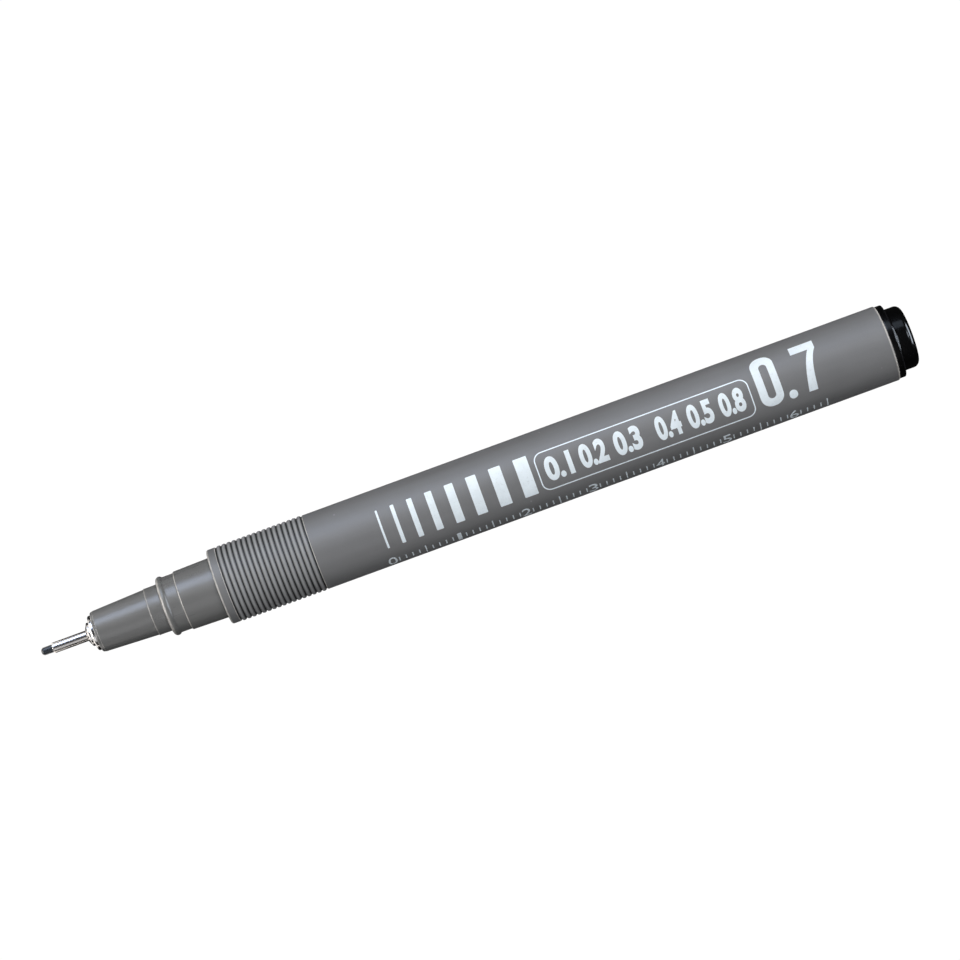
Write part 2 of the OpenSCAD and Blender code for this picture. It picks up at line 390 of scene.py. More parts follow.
class Group(Tree):
    """A shader group or a Geometry Nodes tree, with its inputs and their first values."""

    def __init__(self, name, kind, inputs):
        super().__init__(bpy.data.node_groups.new(name, kind))
        for label, value in inputs.items():
            socket = self.tree.interface.new_socket(
                name=label, in_out="INPUT", socket_type=socket_type(value)
            )
            if value is not None:
                socket.default_value = value
        self.given = self.tree.nodes.new("NodeGroupInput")
        self.result = self.tree.nodes.new("NodeGroupOutput")

    def take(self, label):
        return self.given.outputs[label]

    def give(self, label, kind, value):
        """Adds an output socket of this kind and links it."""
        self.tree.interface.new_socket(name=label, in_out="OUTPUT", socket_type="NodeSocket" + kind)
        self.put(value, self.result.inputs[label])


# ---------------------------------------------------------------- Geometry Nodes


def grow_piece(name, tree, slot, body, values):
    """Makes a plain mesh in a slot's finish by a Geometry Nodes tree with these named inputs."""
    seed = new_piece(name + "_seed", bpy.data.meshes.new(name + "_seed"))
    modifier = seed.modifiers.new("Grown", "NODES")
    modifier.node_group = tree
    values = {**values, "Material": finish(slot)}
    for socket in tree.interface.items_tree:
        if socket.in_out == "INPUT" and socket.name in values:
            modifier[socket.identifier] = values[socket.name]
    mesh = evaluated_mesh(seed)
    mesh.name = name
    dress(new_piece(name, mesh), slot, body)


def evaluated_mesh(piece):
    """The mesh that a piece's modifiers or curves make. The piece itself is removed."""
    now = bpy.context.evaluated_depsgraph_get()
    mesh = bpy.data.meshes.new_from_object(piece.evaluated_get(now), depsgraph=now)
    bpy.data.objects.remove(piece)
    return mesh


def finish_tree(made, geometry, smooth=True):
    """Ends a Geometry Nodes tree in its material, with smooth shading or without."""
    if smooth:
        geometry = made.node("GeometryNodeSetShadeSmooth", {"Geometry": geometry})
    dressed = {"Geometry": geometry, "Material": made.take("Material")}
    made.give("Geometry", "Geometry", made.node("GeometryNodeSetMaterial", dressed))
    return made.tree


def lifted(made, geometry, height):
    """A geometry moved up by a height."""
    up = made.node("ShaderNodeCombineXYZ", {"Z": height})
    return made.node("GeometryNodeTransform", {"Geometry": geometry, "Translation": up})


def on_points(made, points, instance, inputs):
    """Real copies of one instance, one on each point."""
    inputs = {"Points": points, "Instance": instance, **inputs}
    placed = made.node("GeometryNodeInstanceOnPoints", inputs)
    return made.node("GeometryNodeRealizeInstances", {"Geometry": placed})


def row_along_pen(made, instance, inputs):
    """Copies in a row along the pen, from the input First on, Pitch apart."""
    step = made.node("ShaderNodeCombineXYZ", {"X": made.take("Pitch")})
    line = {"Count": made.take("Count"), "Start Location": made.take("First"), "Offset": step}
    return on_points(made, made.node("GeometryNodeMeshLine", line), instance, inputs)


def round_axis(made, instance, start, start_angle):
    """Copies at start on the pen's axis, turned about it by equal steps from start_angle on."""
    line = {"Count": made.take("Count"), "Start Location": start, "Offset": (0, 0, 0)}
    share = made.maths("DIVIDE", FULL_TURN, made.take("Count"))
    steps = made.maths("MULTIPLY", made.node("GeometryNodeInputIndex"), share)
    turn = made.node("ShaderNodeCombineXYZ", {"X": made.maths("ADD", steps, start_angle)})
    return on_points(made, made.node("GeometryNodeMeshLine", line), instance, {"Rotation": turn})


def ring_row_tree():
    """Equal rounded rings in a row along the pen."""
    inputs = {
        "Count": 17, "First": (0, 0, 0), "Pitch": 0.00074, "Radius": 0.0055, "Height": 0.0003,
        "Width": 0.0005, "Sides": SIDES, "Material": None,
    }
    made = Group("Ring row", "GeometryNodeTree", inputs)
    path = made.node(
        "GeometryNodeCurvePrimitiveCircle",
        {"Resolution": made.take("Sides"), "Radius": made.take("Radius")},
    )
    section = made.node(
        "GeometryNodeCurvePrimitiveCircle", {"Resolution": RIB_SECTION_SIDES, "Radius": 1.0}
    )
    half_width = made.maths("MULTIPLY", made.take("Width"), 0.5)
    size = made.node("ShaderNodeCombineXYZ", {"X": made.take("Height"), "Y": half_width, "Z": 1.0})
    sized = made.node("GeometryNodeTransform", {"Geometry": section, "Scale": size})
    ring = made.node("GeometryNodeCurveToMesh", {"Curve": path, "Profile Curve": sized})
    upright = {"Geometry": ring, "Rotation": (0, math.pi / 2, 0)}
    rings = row_along_pen(made, made.node("GeometryNodeTransform", upright), {})
    return finish_tree(made, rings)


def spoke_tree():
    """Equal bars that run along the pen, spaced evenly round its axis."""
    inputs = {
        "Count": 6, "Start angle": 0.0, "Middle": (0, 0, 0), "Offset": 0.004,
        "Size": (0.07, 0.0006, 0.0004), "Material": None,
    }
    made = Group("Spokes", "GeometryNodeTree", inputs)
    bar = made.node("GeometryNodeMeshCube", {"Size": made.take("Size"), "Vertices X": 12})
    bars = lifted(made, bar, made.take("Offset"))
    spokes = round_axis(made, bars, made.take("Middle"), made.take("Start angle"))
    return finish_tree(made, spokes, smooth=False)


def strand_tree():
    """Fibre strands side by side round the pen's axis, each with a slight wander of its own."""
    inputs = {
        "Count": 110, "Front": (0, 0, 0), "Length": 0.07, "Radius": 0.0036, "Thickness": 0.0001,
        "Wander": 0.0001, "Material": None,
    }
    made = Group("Strands", "GeometryNodeTree", inputs)
    end = made.node("ShaderNodeCombineXYZ", {"X": made.take("Length")})
    line = made.node("GeometryNodeCurvePrimitiveLine", {"Start": (0, 0, 0), "End": end})
    fine = made.node("GeometryNodeResampleCurve", {"Curve": line, "Count": STRAND_POINTS})
    raised = lifted(made, fine, made.take("Radius"))
    strands = round_axis(made, raised, made.take("Front"), 0.0)
    place = made.vectors("MULTIPLY", made.node("GeometryNodeInputPosition"), (120, 900, 900))
    noise = made.node("ShaderNodeTexNoise", {"Vector": place, "Scale": 1.0})
    centred = made.vectors("SUBTRACT", noise.outputs["Color"], (0.5, 0.5, 0.5))
    shift = made.scaled(centred, made.take("Wander"))
    moved = made.node("GeometryNodeSetPosition", {"Geometry": strands, "Offset": shift})
    section = made.node(
        "GeometryNodeCurvePrimitiveCircle", {"Resolution": 6, "Radius": made.take("Thickness")}
    )
    tubes = {"Curve": moved, "Profile Curve": section, "Fill Caps": True}
    return finish_tree(made, made.node("GeometryNodeCurveToMesh", tubes))


def scale_marks_tree():
    """Even marks of a scale along the barrel and bent round it, with a gap at each figure."""
    inputs = {
        "Count": SCALE_STEPS + 1, "First": (0, 0, 0), "Pitch": 0.001,
        "Mark": (0.00016, 0.001, 0.00001), "Long mark": 1.8, "Radius": 0.0055,
        "Axis height": 0.00557, "Material": None,
    }
    made = Group("Scale marks", "GeometryNodeTree", inputs)
    mark = made.node("GeometryNodeMeshCube", {"Size": made.take("Mark"), "Vertices Y": 14})
    in_ten = made.maths("MODULO", made.node("GeometryNodeInputIndex"), 10.0)
    at_ten = made.maths("COMPARE", in_ten, 0.0)
    at_five = made.maths("COMPARE", in_ten, 5.0)
    beyond = made.maths("SUBTRACT", made.take("Long mark"), 1.0)
    stretch = made.maths("ADD", 1.0, made.maths("MULTIPLY", at_five, beyond))
    size = made.node("ShaderNodeCombineXYZ", {"X": 1.0, "Y": stretch, "Z": 1.0})
    between = made.maths("LESS_THAN", at_ten, 0.5)
    marks = row_along_pen(made, mark, {"Selection": between, "Scale": size})
    flat = made.node("ShaderNodeSeparateXYZ", {"Vector": made.node("GeometryNodeInputPosition")})
    radius = made.take("Radius")
    reach = made.maths("ADD", radius, flat.outputs["Z"])
    angle = made.maths("DIVIDE", flat.outputs["Y"], radius)
    across = made.maths("MULTIPLY", reach, made.maths("SINE", angle))
    up = made.maths("MULTIPLY", reach, made.maths("COSINE", angle))
    height = made.maths("ADD", up, made.take("Axis height"))
    bent = made.node("ShaderNodeCombineXYZ", {"X": flat, "Y": across, "Z": height})
    wrapped = made.node("GeometryNodeSetPosition", {"Geometry": marks, "Position": bent})
    return finish_tree(made, wrapped, smooth=False)


# ---------------------------------------------------------------- shader groups


def shader_group(name):
    """The shader group of this name, built the first time that it is asked for."""
    if name not in bpy.data.node_groups:
        build, inputs = SHADER_GROUPS[name]
        build(Group(name, "ShaderNodeTree", inputs))
    return bpy.data.node_groups[name]


def build_moulded_grain(made):
    """Fine mottling of a moulded surface: a shifted colour, a shifted roughness and a height."""
    grain = made.noise(made.take("Grain per metre"), 4.0, rough=0.6)
    cloud = made.noise(140.0, 3.0)
    flow = made.noise((60.0, 900.0, 900.0), 3.0)
    broad = made.maths(
        "ADD", made.maths("MULTIPLY", cloud, 0.35), made.maths("MULTIPLY", flow, 0.25)
    )
    mixed = made.maths("ADD", made.maths("MULTIPLY", grain, 0.4), broad)
    centred = made.maths("SUBTRACT", mixed, 0.5)
    colour_shift = made.maths("MULTIPLY", centred, made.take("Colour variation"))
    rough_shift = made.maths("MULTIPLY", centred, made.take("Roughness variation"))
    tinted = made.scaled(made.take("Colour"), made.maths("ADD", 1.0, colour_shift))
    made.give("Colour", "Color", tinted)
    made.give("Roughness", "Float", made.maths("ADD", made.take("Roughness"), rough_shift))
    made.give("Height", "Float", grain)


def build_edge_wear(made):
    """Pale outer corners, partly the wear that handling leaves and partly a painted highlight,
    broken up along its length.
    """
    edge = made.node("ShaderNodeAttribute", attribute_name="edge", attribute_type="GEOMETRY")
    broken = made.ranged(made.noise(900.0, 3.0), 0.3, 0.6, 0.55)
    # The pale edge is partly handling wear and partly a painted highlight.
    mask = made.maths("MULTIPLY", edge.outputs["Fac"], broken)
    mask = made.maths("MULTIPLY", mask, made.take("Amount"))
    made.give("Colour", "Color", made.mixed(mask, made.take("Colour"), made.take("Pale edge colour")))


def build_groove_grime(made):
    """Painted shade in the grooves of the grip, and pale crests that are partly wear and partly a
    painted highlight, by the distance from the pen's axis.
    """
    axis = made.node("ShaderNodeCombineXYZ", {"Z": made.take("Axis height")})
    offset = made.vectors("SUBTRACT", made.place(), axis)
    across = made.vectors("MULTIPLY", offset, (0, 1, 1))
    reach = made.vectors("LENGTH", across).outputs["Value"]
    above = made.maths("SUBTRACT", reach, made.take("Radius"))
    depth = made.ranged(above, -0.00011, 0.00001, 1.0, 0.0)
    outside = made.maths("GREATER_THAN", above, -0.0004)
    # Painted shade: the colour is darkened in the grooves, where shade falls.
    groove_shade = made.maths("MULTIPLY", made.maths("MULTIPLY", depth, outside), made.take("Groove shade"))
    # Partly wear and partly a painted highlight: the colour is lightened on the crests.
    wear_and_highlight = made.ranged(above, 0.000015, 0.000055)
    pale_crest = made.maths("MULTIPLY", wear_and_highlight, made.take("Crest wear and highlight"))
    shade = made.maths("ADD", made.maths("SUBTRACT", 1.0, groove_shade), pale_crest)
    made.give("Colour", "Color", made.scaled(made.take("Colour"), shade))


def build_handling(made):
    """Small pale specks of dust and short fine scratches."""
    specks = made.node(
        "ShaderNodeTexVoronoi", {"Vector": made.place(), "Scale": made.take("Specks per metre")}
    )
    chosen = made.node("ShaderNodeSeparateColor", {"Color": specks.outputs["Color"]})
    near = made.maths("LESS_THAN", specks, 0.06)
    speck = made.maths("MULTIPLY", near, made.maths("GREATER_THAN", chosen, 0.72))
    streaks = made.noise((110.0, 5200.0, 5200.0), 1.0, turned=(0.4, 0.7, 0.9))
    streak = made.maths("GREATER_THAN", streaks, 0.715)
    where = made.maths("GREATER_THAN", made.noise(230.0, 1.0), 0.58)
    made.give("Speck", "Float", speck)
    made.give("Scratch", "Float", made.maths("MULTIPLY", streak, where))


def build_fibre(made):
    """Bundled fibre that runs along the pen: a colour and a height."""
    fibre = made.noise((220.0, 9000.0, 9000.0), 3.0)
    shade = made.ranged(fibre, 0.3, 0.7, 0.6, 1.6)
    made.give("Colour", "Color", made.scaled(made.take("Colour"), shade))
    made.give("Height", "Float", fibre)


GREY = (0.2, 0.2, 0.2, 1)
SHADER_GROUPS = {
    "Moulded grain": (
        build_moulded_grain,
        {
            "Colour": GREY,
            "Roughness": 0.4,
            "Grain per metre": 9000.0,
            "Colour variation": 0.2,
            "Roughness variation": 0.2,
        },
    ),
    "Edge wear": (
        build_edge_wear,
        {"Colour": GREY, "Pale edge colour": (0.5, 0.5, 0.5, 1), "Amount": 0.5},
    ),
    "Groove grime": (
        build_groove_grime,
        {"Colour": GREY, "Axis height": 0.0056, "Radius": 0.0055, "Groove shade": 0.85, "Crest wear and highlight": 0.6},
    ),
    "Handling marks": (build_handling, {"Specks per metre": 420.0}),
    "Fibre": (build_fibre, {"Colour": (0.1, 0.1, 0.1, 1)}),
}


# ---------------------------------------------------------------- materials


def opaque(rgb):
    return (*rgb, 1.0)


class Finish(Tree):
    """A material under construction."""

    def __init__(self, name):
        material = bpy.data.materials.new(name)
        material.use_nodes = True
        super().__init__(material.node_tree)
        self.shader = self.tree.nodes["Principled BSDF"]

    def shade(self, inputs):
        """Sets or links inputs of the material's shader."""
        for key, value in inputs.items():
            self.put(value, self.shader.inputs[key])

    def bump(self, height, strength, distance):
        look = {"Height": height, "Strength": strength, "Distance": distance}
        return self.node("ShaderNodeBump", look)


def plastic(name, rgb, roughness, pale_edge_colour, grain_depth, variation, pale_edge_amount=0.5, grip_radius=None):
    """Moulded plastic with a fine grain, pale edges that are partly wear and partly a painted
    highlight, specks, scratches, and in a grip painted shade in the grooves and pale crests that
    are partly wear and partly a painted highlight.
    """
    made = Finish(name)
    grain = made.group(
        "Moulded grain",
        {
            "Colour": opaque(rgb),
            "Roughness": roughness,
            "Colour variation": variation,
            "Roughness variation": 0.35,
        },
    )
    base = grain
    if grip_radius:
        # In the grip: painted shade in the grooves, and pale crests that are partly wear and partly
        # a painted highlight.
        grip = {"Colour": base, "Axis height": AXIS_Z, "Radius": grip_radius}
        base = made.group("Groove grime", grip)
    # Pale outer edges, partly wear and partly a painted highlight.
    base = made.group("Edge wear", {"Colour": base, "Pale edge colour": opaque(pale_edge_colour), "Amount": pale_edge_amount})
    marks = made.group("Handling marks")
    dust = opaque([min(1.0, part * 2.2 + 0.02) for part in rgb])
    scratch, rough = marks.outputs["Scratch"], grain.outputs["Roughness"]
    made.shade(
        {
            "Base Color": made.mixed(made.maths("MULTIPLY", marks, 0.3), base, dust),
            "Roughness": made.maths("MULTIPLY_ADD", scratch, -0.12, rough),
            "Normal": made.bump(grain.outputs["Height"], 0.35, grain_depth),
            "IOR": 1.49,
        }
    )


def bright_metal(name, rgb, roughness, stretch, depth):
    """Bright metal with fine drawn or turned lines, which run across the longest stretch."""
    made = Finish(name)
    lines = made.noise(stretch, 2.0)
    made.shade(
        {
            "Base Color": made.scaled(rgb, made.ranged(lines, 0.3, 0.7, 0.97, 1.02)),
            "Roughness": made.ranged(lines, 0.3, 0.7, roughness * 0.88, roughness * 1.15),
            "Normal": made.bump(lines, 0.25, depth),
            "Metallic": 1.0,
        }
    )


def inked_fibre(name, rgb, roughness):
    """Bonded fibre soaked in ink."""
    made = Finish(name)
    strands = made.group("Fibre", {"Colour": opaque(rgb)})
    made.shade(
        {
            "Base Color": strands,
            "Roughness": roughness,
            "Normal": made.bump(strands.outputs["Height"], 0.8, 0.00004),
            "Sheen Weight": 0.15,
        }
    )


def printed_ink(name, rgb):
    """Pale screen-printed ink, slightly mottled, thinner in places."""
    made = Finish(name)
    cloud = made.ranged(made.noise(700.0, 5.0), 0.3, 0.7, 0.95, 1.05)
    pits = made.noise(3800.0, 2.0)
    thin = made.ranged(pits, 0.28, 0.42, 0.9, 1.0)
    made.shade(
        {
            "Base Color": made.scaled(rgb, made.maths("MULTIPLY", cloud, thin)),
            "Roughness": 0.42,
            "Normal": made.bump(pits, 0.3, 0.000006),
        }
    )


def clear_film(name):
    """Thin clear film with long soft creases."""
    made = Finish(name)
    creases = made.noise((90.0, 700.0, 700.0), 3.0)
    made.shade(
        {
            "Base Color": (0.78, 0.82, 0.85, 1),
            "Roughness": 0.14,
            "Alpha": 0.3,
            "Normal": made.bump(creases, 0.5, 0.00006),
        }
    )


FINISHES = {
    # The plastics' pale edges are partly wear and partly a painted highlight, and the barrel's grip
    # has painted shade in its grooves.
    "barrel_plastic": lambda name, scene: plastic(
        name,
        scene.pen_barrel.colour,
        0.5,
        (0.75, 0.73, 0.7),
        0.000005,
        0.5,
        pale_edge_amount=1.0,
        grip_radius=scene.pen_barrel.radius,
    ),
    "nose_plastic": lambda name, scene: plastic(
        name, scene.pen_nose.colour, 0.3, (0.8, 0.77, 0.74), 0.000002, 0.35, pale_edge_amount=1.0
    ),
    "plug_plastic": lambda name, scene: plastic(
        name, scene.pen_plug.colour, 0.18, (0.03, 0.03, 0.036), 0.0000005, 0.3, pale_edge_amount=0.6
    ),
    "bright_metal": lambda name, scene: bright_metal(
        name, (0.66, 0.65, 0.64), 0.24, (1500, 300, 300), 0.00000003
    ),
    "steel_tube": lambda name, scene: bright_metal(
        name, (0.56, 0.54, 0.52), 0.27, (150, 1800, 1800), 0.00000002
    ),
    "nib_rod": lambda name, scene: plastic(
        name, (0.012, 0.017, 0.024), 0.36, (0.05, 0.06, 0.07), 0.000003, 0.5
    ),
    "inked_wick": lambda name, scene: inked_fibre(name, scene.pen_ink.colour, 0.6),
    "inked_fibre": lambda name, scene: inked_fibre(
        name, [part * 1.6 for part in scene.pen_ink.colour], 0.7
    ),
    "clear_film": lambda name, scene: clear_film(name),
    "natural_plastic": lambda name, scene: plastic(
        name, (0.8, 0.8, 0.77), 0.4, (0.9, 0.9, 0.9), 0.00001, 0.2
    ),
    "printed_ink": lambda name, scene: printed_ink(name, scene.pen_print.colour),
}


def finish(slot):
    """The material for a record slot, made the first time that it is asked for."""
    name = "finish_" + slot
    if name not in bpy.data.materials:
        FINISHES[slot](name, bpy.context.scene)
    return bpy.data.materials[name]


def dress(piece, slot, body, *replaced):
    """Gives a piece its finish, its record slot, its body and the CAD nodes that it stands for."""
    if not piece.data.materials:
        piece.data.materials.append(finish(slot))
    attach(piece, body)
    for node in replaced:
        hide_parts(node)


# ---------------------------------------------------------------- flat print, bent round the barrel


def on_barrel(x_from_front):
    return BARREL_FRONT + x_from_front


def height_at(degrees):
    """Distance round the barrel from its top line, for an angle towards +Y."""
    return math.radians(degrees) * bpy.context.scene.pen_barrel.radius


def flat_curve(name, outlines):
    """A filled flat shape of (x, y) outlines. An outline inside another one is a hole."""
    curve = bpy.data.curves.new(name, "CURVE")
    curve.dimensions = "2D"
    curve.fill_mode = "BOTH"
    for outline in outlines:
        spline = curve.splines.new("POLY")
        spline.points.add(len(outline) - 1)
        for point, (x, y) in zip(spline.points, outline):
            point.co = (x, y, 0, 1)
        spline.use_cyclic_u = True
    return curve


def flat_mesh(curve, thickness):
    """A filled curve or a text as a closed flat plate, in a bmesh."""
    curve.extrude = thickness / 2
    mesh = evaluated_mesh(new_piece(curve.name + "_flat", curve))
    plate = bmesh.new()
    plate.from_mesh(mesh)
    bpy.data.meshes.remove(mesh)
    bmesh.ops.remove_doubles(plate, verts=plate.verts, dist=1e-7)
    return plate


def bend_round_barrel(plate, radius, thickness, step=0.13 * MM):
    """Cuts a flat plate into narrow bands along the pen, then bends it round the barrel."""
    heights = [vert.co.y for vert in plate.verts]
    cuts = int((max(heights) - min(heights)) / step)
    for cut in range(1, cuts + 1):
        place = min(heights) + (max(heights) - min(heights)) * cut / (cuts + 1)
        parts = plate.verts[:] + plate.edges[:] + plate.faces[:]
        bmesh.ops.bisect_plane(plate, geom=parts, plane_co=(0, place, 0), plane_no=(0, 1, 0))
    for vert in plate.verts:
        angle = vert.co.y / radius
        reach = radius + vert.co.z + thickness * 0.3
        vert.co.y = reach * math.sin(angle)
        vert.co.z = AXIS_Z + reach * math.cos(angle)
    bmesh.ops.recalc_face_normals(plate, faces=plate.faces)


def printed_piece(name, plates):
    """One printed piece from flat plates, bent round the barrel."""
    sizes = bpy.context.scene.pen_print
    mesh = bpy.data.meshes.new(name)
    whole = bmesh.new()
    for plate in plates:
        bend_round_barrel(plate, bpy.context.scene.pen_barrel.radius, sizes.thickness)
        part = bpy.data.meshes.new(name + "_part")
        plate.to_mesh(part)
        plate.free()
        whole.from_mesh(part)
        bpy.data.meshes.remove(part)
    whole.to_mesh(mesh)
    whole.free()
    dress(new_piece(name, mesh), "printed_ink", "barrel")


def round_box(x0, y0, x1, y1, radius, steps=8):
    """A flat outline of a rectangle with round corners."""
    left, right, low, high = x0 + radius, x1 - radius, y0 + radius, y1 - radius
    points = []
    for number, (x, y) in enumerate([(right, high), (left, high), (left, low), (right, low)]):
        for step in range(steps + 1):
            angle = FULL_TURN / 4 * (number + step / steps)
            points.append((x + radius * math.cos(angle), y + radius * math.sin(angle)))
    return points


def bend(start, middle, end, steps=8):
    """Points of a smooth bend from start to end that leans towards middle."""
    points = []
    for step in range(steps + 1):
        s = step / steps
        place = Vector(start) * (1 - s) ** 2 + Vector(middle) * 2 * s * (1 - s) + Vector(end) * s**2
        points.append(tuple(place))
    return points


def flat_shape(name, outlines):
    return flat_mesh(flat_curve(name, outlines), bpy.context.scene.pen_print.thickness)


def flat_text(name, words, x0, x1, low, high, weight=0.0):
    """Figures that fill a box from x0 to x1 and from low to high. weight thickens their strokes."""
    text = bpy.data.curves.new(name, "FONT")
    text.body = words
    text.size = 1.0
    text.offset = weight
    text.resolution_u = 6
    plate = flat_mesh(text, bpy.context.scene.pen_print.thickness)
    across = [vert.co.x for vert in plate.verts]
    up = [vert.co.y for vert in plate.verts]
    x_scale = (x1 - x0) / (max(across) - min(across))
    y_scale = (high - low) / (max(up) - min(up))
    x_shift, y_shift = x0 - min(across) * x_scale, low - min(up) * y_scale
    for vert in plate.verts:
        vert.co.x = vert.co.x * x_scale + x_shift
        vert.co.y = vert.co.y * y_scale + y_shift
    return plate


# ---------------------------------------------------------------- one operator for each group


class PEN_OT_barrel(bpy.types.Operator):
    """Makes the barrel, its grip ribs and the fins inside it"""

    bl_idname = "pen.barrel"
    bl_label = "Barrel"

    def execute(self, context):
        sizes = context.scene.pen_barrel
        floor = sizes.radius - sizes.groove_depth
        grip_start = BARREL_FRONT + sizes.rim_band
        grip_end = grip_start + sizes.rib_pitch * (sizes.rib_count + 0.44)
        bore_front = SPIGOT_END + 0.4 * MM
        bore_rear = SKIRT_FRONT - 0.4 * MM
        outline = [
            corner(BARREL_FRONT, sizes.mouth_radius, 0.06 * MM),
            corner(BARREL_FRONT, sizes.radius, 0.3 * MM),
            corner(grip_start, sizes.radius, 0.09 * MM),
            corner(grip_start + 0.08 * MM, floor, 0.06 * MM),
            corner(grip_end - 0.08 * MM, floor, 0.06 * MM),
            corner(grip_end, sizes.radius, 0.09 * MM),
            corner(BARREL_REAR, sizes.radius, 0.3 * MM),
            corner(BARREL_REAR, sizes.mouth_radius, 0.06 * MM),
            corner(bore_rear + 0.4 * MM, sizes.mouth_radius),
            corner(bore_rear, sizes.bore_radius),
            corner(bore_front, sizes.bore_radius),
            corner(SPIGOT_END, sizes.mouth_radius),
        ]
        turn_piece("barrel_shell", outline, "barrel_plastic", "barrel", "barrel", closed=True)

        grow_piece(
            "grip_ribs",
            ring_row_tree(),
            "barrel_plastic",
            "barrel",
            {
                "Count": sizes.rib_count,
                "First": (grip_start + sizes.rib_pitch * 0.72, 0, AXIS_Z),
                "Pitch": sizes.rib_pitch,
                "Radius": floor,
                "Height": sizes.groove_depth + sizes.rib_proud,
                "Width": sizes.rib_width,
            },
        )

        fin_height = sizes.bore_radius - context.scene.pen_ink.reservoir_radius
        grow_piece(
            "barrel_fins",
            spoke_tree(),
            "barrel_plastic",
            "barrel",
            {
                "Count": 6,
                "Start angle": math.radians(90),
                "Middle": ((RESERVOIR_FRONT + RESERVOIR_REAR) / 2, 0, AXIS_Z),
                "Offset": sizes.bore_radius - fin_height * 0.3,
                "Size": (RESERVOIR_REAR - RESERVOIR_FRONT, 0.6 * MM, fin_height * 0.68),
            },
        )
        return {"FINISHED"}


class PEN_OT_nose(bpy.types.Operator):
    """Makes the nose section, from its face to the end of its spigot"""

    bl_idname = "pen.nose"
    bl_label = "Nose section"

    def execute(self, context):
        sizes = context.scene.pen_nose
        tip = context.scene.pen_tip
        seat = tip.shank_radius + SLIDE
        wick_bore = context.scene.pen_ink.wick_radius + SLIDE
        passage = tip.nib_radius + 0.25 * MM
        ring_top = context.scene.pen_barrel.mouth_radius - SLIDE
        collar_front = NOSE_FRONT + sizes.cone_length
        bead_front = collar_front + sizes.collar_length
        bead_centre = sizes.bead_radius - sizes.bead_round
        waist_front = bead_front + 2 * sizes.bead_round
        land_front = waist_front + sizes.waist_length
        well_front = BARREL_FRONT + 2.5 * MM
        well_outer, well_inner = 3.45 * MM, 2.1 * MM
        rings = [
            seal_ring(BARREL_FRONT + back * MM, sizes.spigot_radius, ring_top) for back in (3, 6, 9)
        ]
        outline = [
            corner(NOSE_FRONT, seat, 0.08 * MM),
            corner(NOSE_FRONT, sizes.front_radius - 0.14 * MM, 0.1 * MM),
            corner(NOSE_FRONT + 0.2 * MM, sizes.front_radius - 0.05 * MM),
            corner(NOSE_FRONT + 0.38 * MM, sizes.front_radius - 0.03 * MM),
            corner(NOSE_FRONT + 0.42 * MM, sizes.front_radius + 0.01 * MM, 0.02 * MM),
            corner(collar_front, sizes.cone_radius, 0.02 * MM),
            # The collar's front edge is a pale line, partly wear and partly a painted highlight.
            corner(collar_front + 0.03 * MM, sizes.collar_radius + 0.02 * MM, edge=0.6),
            corner(collar_front + 0.2 * MM, sizes.collar_radius - 0.02 * MM),
            corner(bead_front - 0.02 * MM, sizes.collar_radius, 0.12 * MM),
            corner(bead_front, bead_centre - 0.02 * MM),
            # The bead's front is a pale edge, partly wear and partly a painted highlight.
            *arc(bead_front + sizes.bead_round, bead_centre, sizes.bead_round, -90, 52, wear_and_highlight=-45),
            corner(waist_front + 0.05 * MM, sizes.waist_radius, 0.1 * MM),
            corner(land_front - 0.12 * MM, sizes.waist_radius + 0.01 * MM, 0.08 * MM),
            corner(land_front, sizes.land_radius - 0.12 * MM, 0.18 * MM),
            corner(BARREL_FRONT, sizes.land_radius, 0.02 * MM),
            corner(BARREL_FRONT + 0.05 * MM, sizes.spigot_radius, 0.02 * MM),
            *[point for ring in rings for point in ring],
            corner(SPIGOT_END, sizes.spigot_radius, 0.6 * MM),
            corner(SPIGOT_END, well_outer, 0.15 * MM),
            corner(well_front, well_outer, 0.3 * MM),
            corner(well_front, well_inner, 0.3 * MM),
            corner(SPIGOT_END, well_inner, 0.15 * MM),
            corner(SPIGOT_END, wick_bore, 0.15 * MM),
            corner(WICK_FRONT, wick_bore),
            corner(WICK_FRONT, passage),
            corner(SHANK_END + 1.3 * MM, passage),
            corner(SHANK_END + 0.3 * MM, seat),
        ]
        turn_piece(
            "nose_section_moulding", outline, "nose_plastic", "section", "nose_section", closed=True
        )
        return {"FINISHED"}


